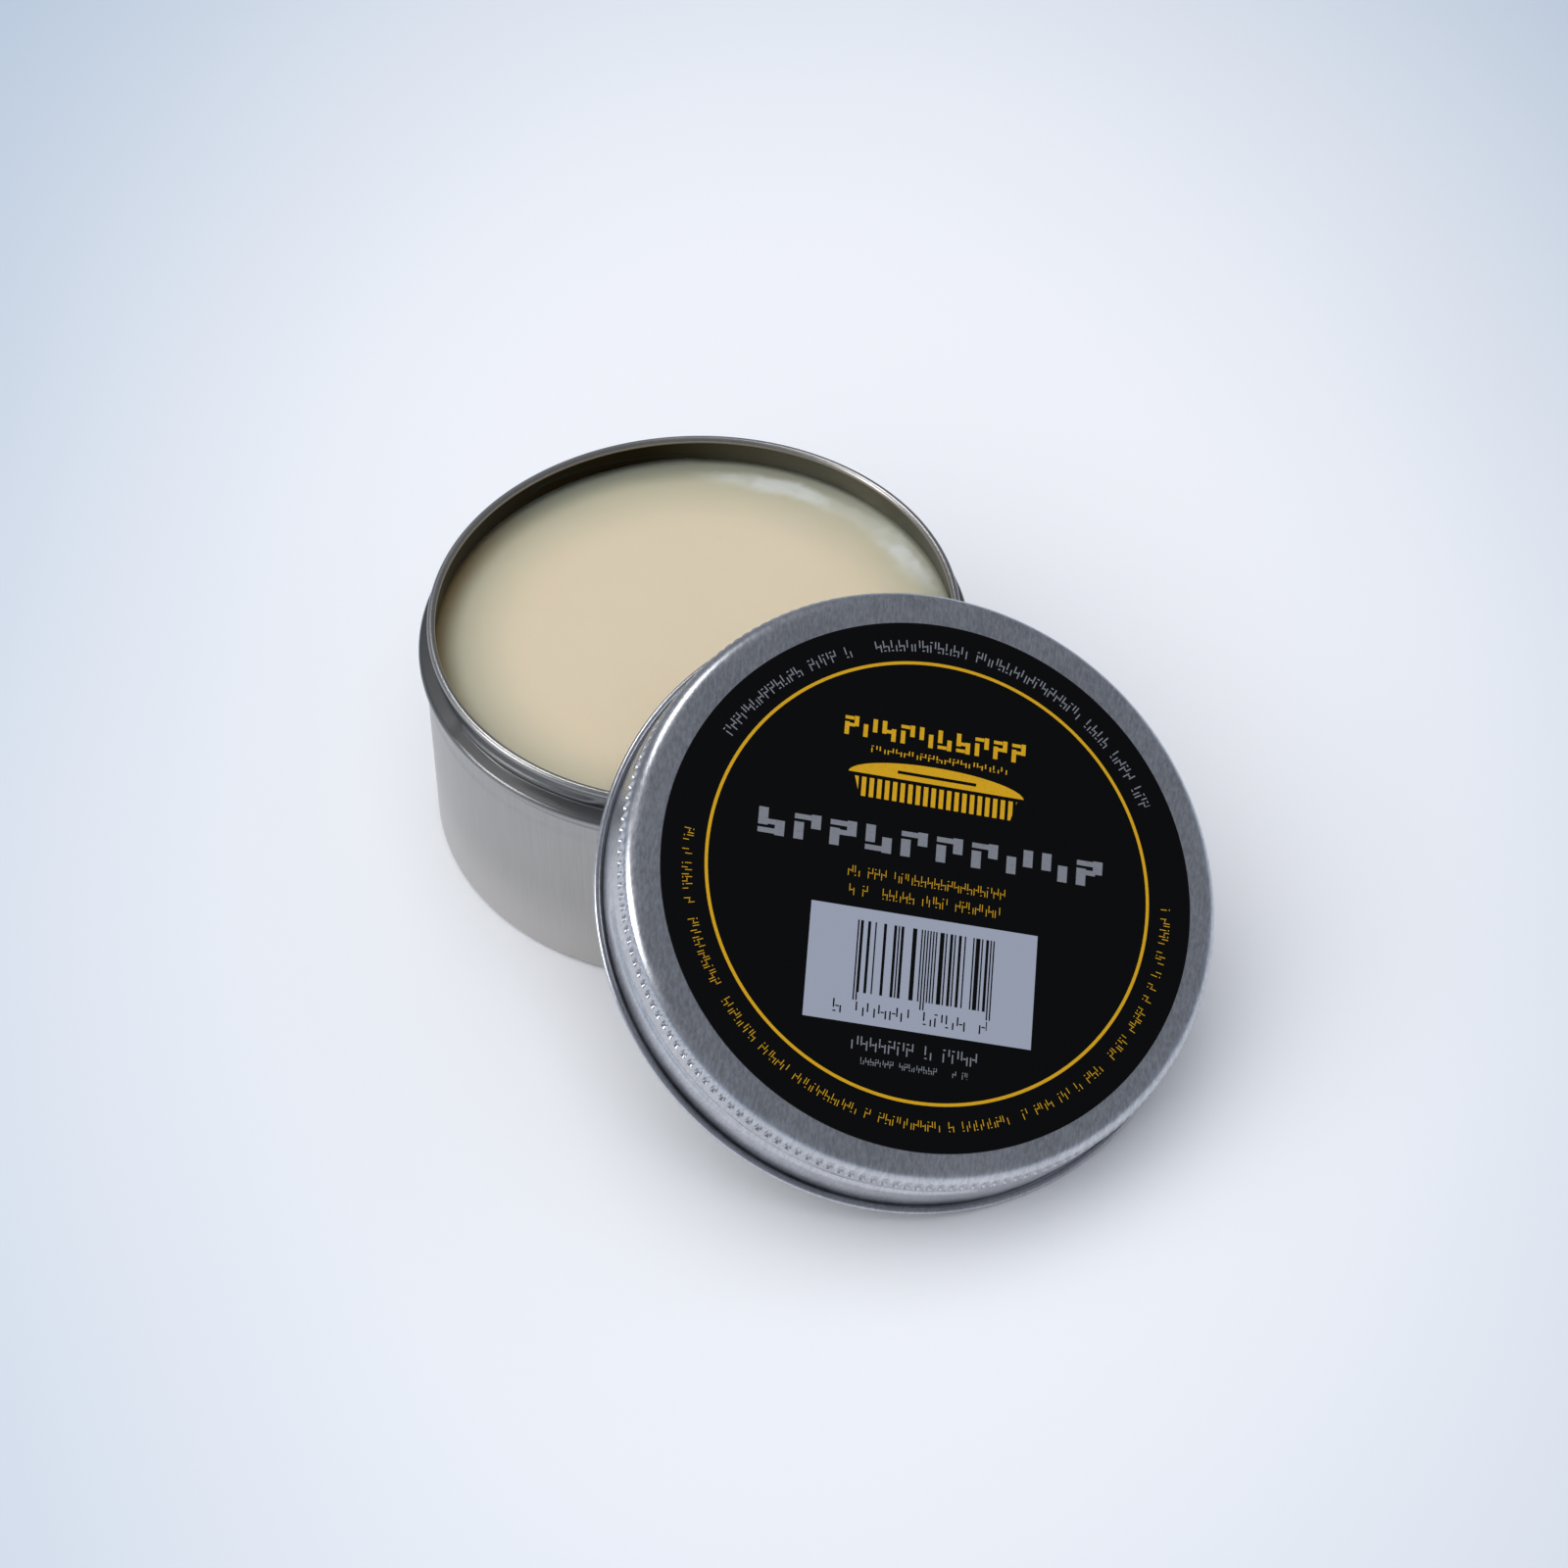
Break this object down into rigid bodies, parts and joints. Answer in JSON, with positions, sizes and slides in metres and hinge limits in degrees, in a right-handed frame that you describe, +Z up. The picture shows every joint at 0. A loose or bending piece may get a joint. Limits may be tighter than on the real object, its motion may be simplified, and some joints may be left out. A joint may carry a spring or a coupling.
{
  "type": "shoe polish tin",
  "caption": "Round open metal tin of leather wax with a curled rim and shoulder bead, its labelled quick-turn screw lid leaning against it.",
  "frame": {"origin": "centre of the ring that the tin stands on", "axes": "+Z up along the tin's axis; the lid lies towards +X and -Y, leaning on the rim"},
  "size_m": [0.115, 0.1309, 0.0545],
  "materials": {
    "tinplate": "satin",
    "wax": "soft satin wax",
    "lid_metal": "satin",
    "label": "satin film with gold, silver and white print",
    "foam": "fine closed-cell foam"
  },
  "bodies": {
    "tin": {"tin_body": "tinplate", "wax_fill": "wax"},
    "wad": {"sealing_wad": "foam"},
    "lid": {"lid_shell": "lid_metal", "lid_label": "label"}
  },
  "joints": [
    {"name": "lid_lift", "type": "slide", "parent": "tin", "child": "wad", "axis": [0.2661, -0.4161, 0.8695], "range_m": [0, 0.07]},
    {"name": "lid_turn", "type": "hinge", "parent": "wad", "child": "lid", "pos_m": [0.02913, -0.04554, 0.02185], "axis": [0.2661, -0.4161, 0.8695], "continuous": true}
  ]
}
